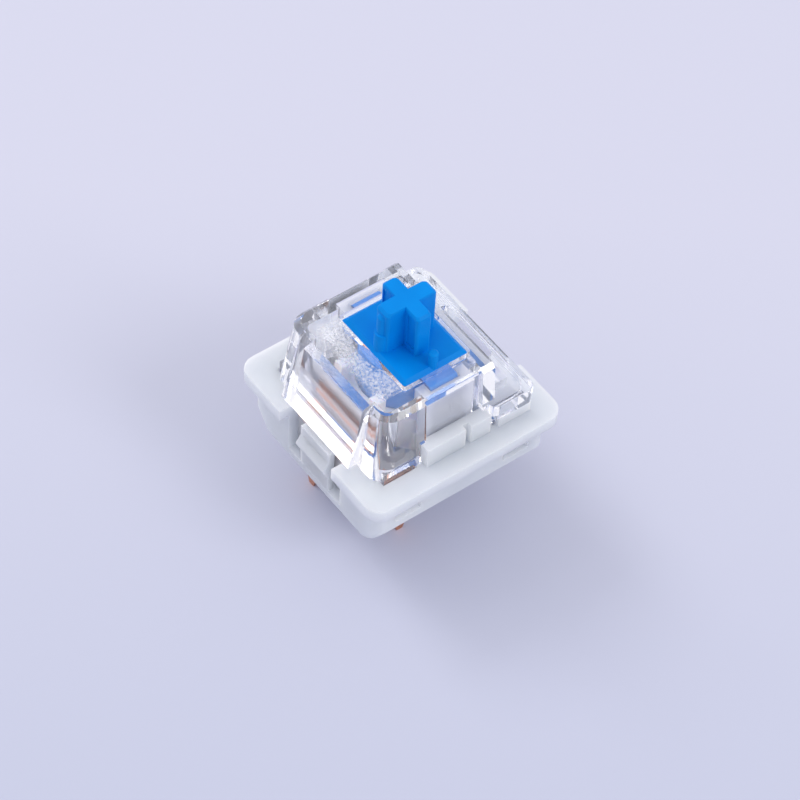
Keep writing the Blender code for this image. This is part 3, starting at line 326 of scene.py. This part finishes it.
def drawn_metal(name, colour, roughness, grain_mm, stretch):
    """Bright strip or wire: its drawing marks are fine noise stretched along the strip."""
    material, tree, place = new_material(name)
    along = add_node(tree, "ShaderNodeMapping", {"Vector": place, "Scale": stretch})
    marks = add_node(tree, "ShaderNodeTexNoise", {"Vector": along, "Scale": per_mm(grain_mm), "Detail": 2.0})
    bump = add_node(tree, "ShaderNodeBump", {"Height": marks, "Strength": 0.2, "Distance": 0.005 * MM})
    shine = add_node(tree, "ShaderNodeMapRange",
                     {"Value": marks, "To Min": roughness * 0.8, "To Max": roughness * 1.25})
    metal = add_node(tree, "ShaderNodeBsdfPrincipled", {
        "Base Color": hex_colour(colour), "Metallic": 1.0, "Roughness": shine, "Normal": bump,
    })
    add_node(tree, "ShaderNodeOutputMaterial", {"Surface": metal})
    return material


COPPER = drawn_metal("copper_alloy_stamped", "DFA283", 0.28, 0.15, ALONG_STRIP)
GOLD = drawn_metal("contact_gold_drawn", "F5CF7A", 0.22, 0.10, EVEN)
STEEL = drawn_metal("spring_steel_drawn", "C9CBD0", 0.22, 0.10, EVEN)
print("made", COPPER.name, GOLD.name, STEEL.name)

# %% [markdown]
# ## Rounded edges
#
# A moulded edge is never sharp: the mould is cut with a small radius, and that radius is what catches the
# light. A Bevel node in the shader could fake it, but the outline would stay sharp and clear plastic would
# bend light wrongly. So the edges get a real, narrow bevel. The frame's nodes are exact but sharp, and
# their meshes are loose triangles. Each one is copied, its doubles are merged and its flat faces are
# joined up again before the bevel. The large faces keep their own direction (weighted normals), so that a
# flat clear wall bends and mirrors light as a flat wall does. The copy then stands for the node and moves
# with the same body.

# %% Copies with rounded edges
SAME_POINT = 0.0005 * MM
SAME_PLANE = math.radians(1)
SHARP_EDGE = math.radians(30)  # edges that turn more than this are rounded
CREASE = math.radians(40)  # edges that turn more than this after rounding stay creases


def merged_copy(node, name):
    """A copy of a node's mesh as one closed skin with its flat faces joined up."""
    mesh = frame["nodes"][node].data.copy()
    mesh.name = name
    shape = bmesh.new()
    shape.from_mesh(mesh)
    bmesh.ops.remove_doubles(shape, verts=shape.verts, dist=SAME_POINT)
    bmesh.ops.dissolve_limit(shape, angle_limit=SAME_PLANE, verts=shape.verts, edges=shape.edges)
    shape.to_mesh(mesh)
    shape.free()
    mesh.materials.clear()
    piece = bpy.data.objects.new(name, mesh)
    bpy.context.scene.collection.objects.link(piece)
    return piece


def bake(piece):
    """Turns a piece's modifiers into plain mesh."""
    bpy.context.view_layer.update()
    solved = bpy.data.meshes.new_from_object(piece.evaluated_get(bpy.context.evaluated_depsgraph_get()))
    piece.modifiers.clear()
    piece.data = solved


def rounded(node, name, material, width, segments):
    """The node's shape with bevelled edges, riding where the node rides."""
    piece = merged_copy(node, name)
    bevel = piece.modifiers.new("edges", "BEVEL")
    bevel.width = width
    bevel.segments = segments
    bevel.limit_method = "ANGLE"
    bevel.angle_limit = SHARP_EDGE
    bevel.use_clamp_overlap = True
    bake(piece)
    piece.data.materials.append(material)
    piece.data.shade_smooth()
    piece.data.set_sharp_from_angle(angle=CREASE)
    even = piece.modifiers.new("flat_faces", "WEIGHTED_NORMAL")
    even.keep_sharp = True
    bake(piece)
    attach(piece, frame["nodes"][node]["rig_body"])
    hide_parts(node)
    print(f"{name}: {len(piece.data.polygons)} faces")


for node, name, material, slot, width, segments in (
    ("lower_housing", "milky_base", MILKY, "milky_nylon", 0.06, 2),
    ("upper_housing", "clear_cover", CLEAR, "clear_polycarbonate", 0.06, 2),
    ("stem", "blue_plunger", BLUE, "blue_acetal", 0.05, 2),
    ("click_jacket", "white_click_jacket", WHITE, "white_acetal", 0.05, 2),
    ("fixed_terminal", "fixed_contact_strip", COPPER, "copper_alloy", 0.02, 1),
    ("leaf_terminal", "leaf_contact_strip", COPPER, "copper_alloy", 0.02, 1),
    ("contact_leaf", "copper_leaf", COPPER, "copper_alloy", 0.02, 1),
    ("leaf_contact_bar", "gold_bar_on_leaf", GOLD, "contact_gold", 0.02, 1),
    ("fixed_contact_bar", "gold_bar_on_strip", GOLD, "contact_gold", 0.02, 1),
):
    rounded(node, name, material, width * MM, segments)

# %% [markdown]
# ## The coil spring
#
# The spring is wire wound on a mandrel: closed turns at each end, open ones between. The Screw modifier
# winds an even spring only. A spring with closed ends still follows a rule, so Geometry Nodes build it. A
# spiral of points is laid down, its heights are squeezed near the ends, and a circle of the wire's size is
# swept along it. The tree has named inputs, so that its sizes can be changed as on a spring maker's
# drawing. Its arithmetic is a table with one Math node a line, and each line may use the ones above it.

# %% Tree of the coil spring
END_PITCH = 1.35  # rise of a closed turn, in thicknesses of the wire
WIRE_SIDES = 12


def spring_tree():
    """Radius, wire, turns and height in, a swept coil out, with its first and last turns closed."""
    tree = bpy.data.node_groups.new("coil_spring", "GeometryNodeTree")
    kinds = {
        "Radius": "Float", "Wire": "Float", "Turns": "Float", "Bottom": "Float", "Height": "Float",
        "Closed Turns": "Float", "Steps": "Int", "Finish": "Material",
    }
    for name, kind in kinds.items():
        tree.interface.new_socket(name, in_out="INPUT", socket_type=f"NodeSocket{kind}")
    tree.interface.new_socket("Geometry", in_out="OUTPUT", socket_type="NodeSocketGeometry")
    given = add_node(tree, "NodeGroupInput").outputs

    known = {name: given[name] for name in kinds}
    known["along"] = add_node(tree, "GeometryNodeSplineParameter").outputs["Factor"]
    for name, operation, *terms in (
        ("points", "MULTIPLY", "Turns", "Steps"),
        ("turn", "MULTIPLY", "along", "Turns"),
        ("both ends", "MULTIPLY", "Closed Turns", 2.0),
        ("open turns", "SUBTRACT", "Turns", "both ends"),
        ("closed below", "MINIMUM", "turn", "Closed Turns"),
        ("upper end", "ADD", "Closed Turns", "open turns"),
        ("past upper end", "SUBTRACT", "turn", "upper end"),
        ("closed above", "MAXIMUM", "past upper end", 0.0),
        ("closed", "ADD", "closed below", "closed above"),
        ("opened", "SUBTRACT", "turn", "closed"),
        ("closed pitch", "MULTIPLY", "Wire", END_PITCH),
        ("ends' height", "MULTIPLY", "closed pitch", "both ends"),
        ("open height", "SUBTRACT", "Height", "ends' height"),
        ("open pitch", "DIVIDE", "open height", "open turns"),
        ("closed rise", "MULTIPLY", "closed", "closed pitch"),
        ("open rise", "MULTIPLY", "opened", "open pitch"),
        ("rise", "ADD", "closed rise", "open rise"),
        ("angle", "MULTIPLY", "turn", math.tau),
        ("cosine", "COSINE", "angle"),
        ("sine", "SINE", "angle"),
        ("x", "MULTIPLY", "Radius", "cosine"),
        ("y", "MULTIPLY", "Radius", "sine"),
        ("z", "ADD", "Bottom", "rise"),
        ("wire radius", "MULTIPLY", "Wire", 0.5),
    ):
        inputs = {place: known.get(term, term) for place, term in enumerate(terms)}
        known[name] = add_node(tree, "ShaderNodeMath", inputs, operation=operation).outputs["Value"]

    line = add_node(tree, "GeometryNodeCurvePrimitiveLine")
    many = add_node(tree, "GeometryNodeResampleCurve", {"Curve": line, "Count": known["points"]})
    place = add_node(tree, "ShaderNodeCombineXYZ", {"X": known["x"], "Y": known["y"], "Z": known["z"]})
    coil = add_node(tree, "GeometryNodeSetPosition", {"Geometry": many, "Position": place})
    ring = add_node(tree, "GeometryNodeCurvePrimitiveCircle",
                    {"Resolution": WIRE_SIDES, "Radius": known["wire radius"]})
    swept = add_node(tree, "GeometryNodeCurveToMesh",
                     {"Curve": coil, "Profile Curve": ring, "Fill Caps": True})
    real = add_node(tree, "GeometryNodeRealizeInstances", {"Geometry": swept})
    dressed = add_node(tree, "GeometryNodeSetMaterial", {"Geometry": real, "Material": known["Finish"]})
    add_node(tree, "NodeGroupOutput", {"Geometry": dressed})
    return tree


SPRING_TREE = spring_tree()
print("spring tree:", len(SPRING_TREE.nodes), "nodes")

# %% [markdown]
# ## Winding the spring
#
# The wound spring takes the place and the size of the frame's own spring. It rides with the housing, and
# its foot stays on the base.

# %% Winding the spring
WIRE = 0.24 * MM
TURNS = 12.0
CLOSED_TURNS = 1.0  # at each end
STEPS = 32  # points in a turn


def set_inputs(modifier, values):
    """Sets a Geometry Nodes modifier's inputs by their sockets' identifiers."""
    for item in modifier.node_group.interface.items_tree:
        if item.item_type == "SOCKET" and item.in_out == "INPUT":
            modifier[item.identifier] = values[item.name]


spring_low, spring_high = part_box("return_spring")
spring = bpy.data.objects.new("wound_spring", bpy.data.meshes.new("wound_spring"))
bpy.context.scene.collection.objects.link(spring)
winding = spring.modifiers.new("winding", "NODES")
winding.node_group = SPRING_TREE
set_inputs(winding, {
    "Radius": (spring_high.x - spring_low.x - WIRE) / 2,
    "Wire": WIRE,
    "Turns": TURNS,
    "Bottom": spring_low.z + WIRE / 2,
    "Height": spring_high.z - spring_low.z - WIRE,
    "Closed Turns": CLOSED_TURNS,
    "Steps": STEPS,
    "Finish": STEEL,
})
bake(spring)
spring.data.shade_smooth()
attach(spring, "housing")
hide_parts("return_spring")
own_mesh(spring)

# %% [markdown]
# ## Camera
#
# A camera could be turned by eye until the picture looks right. Here it is the one that fits the
# photograph: its angles, its distance and its focal length come from points whose true sizes are known.

# %% Camera
AZIMUTH = math.radians(50.42)
ELEVATION = math.radians(50.76)
ROLL = math.radians(3.89)
DISTANCE = 228.74 * MM
FOCAL_PIXELS = 3451.94
FRAME_PIXELS = 800
CENTRE_PIXEL = (400.84, 387.81)
TARGET = Vector((0, 0, 9.3 * MM))

backward = Vector((math.sin(AZIMUTH) * math.cos(ELEVATION), -math.cos(AZIMUTH) * math.cos(ELEVATION),
                   math.sin(ELEVATION)))
rightward = Vector((math.cos(AZIMUTH), math.sin(AZIMUTH), 0))
upward = backward.cross(rightward)
right = math.cos(ROLL) * rightward + math.sin(ROLL) * upward
up = math.cos(ROLL) * upward - math.sin(ROLL) * rightward
camera_data = bpy.data.cameras.new("camera")
camera_data.sensor_width = 36
camera_data.lens = FOCAL_PIXELS * camera_data.sensor_width / FRAME_PIXELS
camera_data.shift_x = -(CENTRE_PIXEL[0] - FRAME_PIXELS / 2) / FRAME_PIXELS
camera_data.shift_y = (CENTRE_PIXEL[1] - FRAME_PIXELS / 2) / FRAME_PIXELS
camera_data.clip_start = 1 * MM
camera = bpy.data.objects.new("camera", camera_data)
bpy.context.scene.collection.objects.link(camera)
turn = Matrix((right, up, backward)).transposed().to_4x4()
camera.matrix_world = Matrix.Translation(TARGET + backward * DISTANCE) @ turn
bpy.context.scene.camera = camera
print("camera at", [round(v / MM, 1) for v in camera.location], "mm, lens", round(camera_data.lens, 1))

# %% [markdown]
# ## Paper floor
#
# The switch stands on seamless pale paper, slightly blue. Painted shade makes its colour a little darker
# towards the camera. A lamp with a falloff could do that, but it would also darken the switch, so the shade
# is painted.

# %% Paper floor
FLOOR_REACH = 1500 * MM
# painted shade: where the paper's painted darkening towards the camera starts and ends
PAINTED_SHADE_STARTS = -25 * MM  # from here behind the switch
PAINTED_SHADE_ENDS = 30 * MM  # to here in front of it


def paper():
    """Smooth pale paper, slightly blue, with painted shade that darkens it slowly towards the camera's side.
    """
    material, tree, place = new_material("pale_paper_painted_shade")
    towards_camera = (math.sin(AZIMUTH), -math.cos(AZIMUTH), 0)
    nearer = add_node(tree, "ShaderNodeVectorMath", {0: place, 1: towards_camera}, operation="DOT_PRODUCT")
    painted_darkening = add_node(tree, "ShaderNodeMapRange",
                    {"Value": nearer.outputs["Value"], "From Min": PAINTED_SHADE_STARTS, "From Max": PAINTED_SHADE_ENDS})
    # painted shade: the paper's tone goes from CCCDE0 behind the switch to the darker BFC3D9 in front of it
    colour = add_node(tree, "ShaderNodeValToRGB", {"Fac": painted_darkening})
    for stop, tone in zip(colour.color_ramp.elements, ("CCCDE0", "BFC3D9")):
        stop.color = hex_colour(tone)
    sheet = add_node(tree, "ShaderNodeBsdfPrincipled",
                     {"Base Color": colour, "Roughness": 0.7, "Specular IOR Level": 0.2})
    add_node(tree, "ShaderNodeOutputMaterial", {"Surface": sheet})
    return material


shape = bmesh.new()
bmesh.ops.create_grid(shape, x_segments=1, y_segments=1, size=FLOOR_REACH)
floor_mesh = bpy.data.meshes.new("paper_floor")
shape.to_mesh(floor_mesh)
shape.free()
floor_mesh.materials.append(paper())
floor = bpy.data.objects.new("paper_floor", floor_mesh)
bpy.context.scene.collection.objects.link(floor)
print("floor laid")

# %% [markdown]
# ## Lamps and surroundings
#
# Two wide lamps, on the left and on the right a little behind, cast the two soft shadows on the paper. A
# third, weak lamp stands where the clear sloped front sends the camera's view back out, and it fills the
# lower half of that front with white. A painted band could do that, but it wouldn't move with the view.
# Pale surroundings fill the rest. They are a little brighter in gloss and in clear plastic than as plain
# light, so that the cover shows a bright studio and the base isn't washed out.

# %% Lamps and surroundings
LAMP_COLOUR = "FFFDF8"
PLAIN_STRENGTH = 0.82  # of the surroundings as plain light
MORE_IN_CLEAR = 0.28  # added in gloss and in clear plastic


def soft_lamp(name, place, size, power):
    """A square soft lamp that faces the switch. Places and sizes are in millimetres."""
    data = bpy.data.lights.new(name, "AREA")
    data.shape = "SQUARE"
    data.size = size * MM
    data.energy = power
    data.color = hex_colour(LAMP_COLOUR)[:3]
    lamp = bpy.data.objects.new(name, data)
    bpy.context.scene.collection.objects.link(lamp)
    lamp.location = Vector(place) * MM
    lamp.rotation_euler = (TARGET - lamp.location).to_track_quat("-Z", "Y").to_euler()


soft_lamp("left_softbox", (-620, -135, 560), size=300, power=2.0)
soft_lamp("front_softbox", (-415, -343, 668), size=330, power=0.62)
soft_lamp("right_softbox", (560, 240, 460), size=300, power=1.7)

world = bpy.data.worlds.new("studio")
bpy.context.scene.world = world
world.use_nodes = True
tree = world.node_tree
tree.nodes.clear()
ray = add_node(tree, "ShaderNodeLightPath").outputs
clear = add_node(tree, "ShaderNodeMath", {0: ray["Is Glossy Ray"], 1: ray["Is Transmission Ray"]},
                 operation="MAXIMUM")
more = add_node(tree, "ShaderNodeMath", {0: clear, 1: MORE_IN_CLEAR}, operation="MULTIPLY")
strength = add_node(tree, "ShaderNodeMath", {0: more, 1: PLAIN_STRENGTH}, operation="ADD")
surroundings = add_node(tree, "ShaderNodeBackground", {"Color": hex_colour("F5F5F9"), "Strength": strength})
add_node(tree, "ShaderNodeOutputWorld", {"Surface": surroundings})
bpy.context.scene.view_settings.view_transform = "Standard"
print("lamps and surroundings placed")
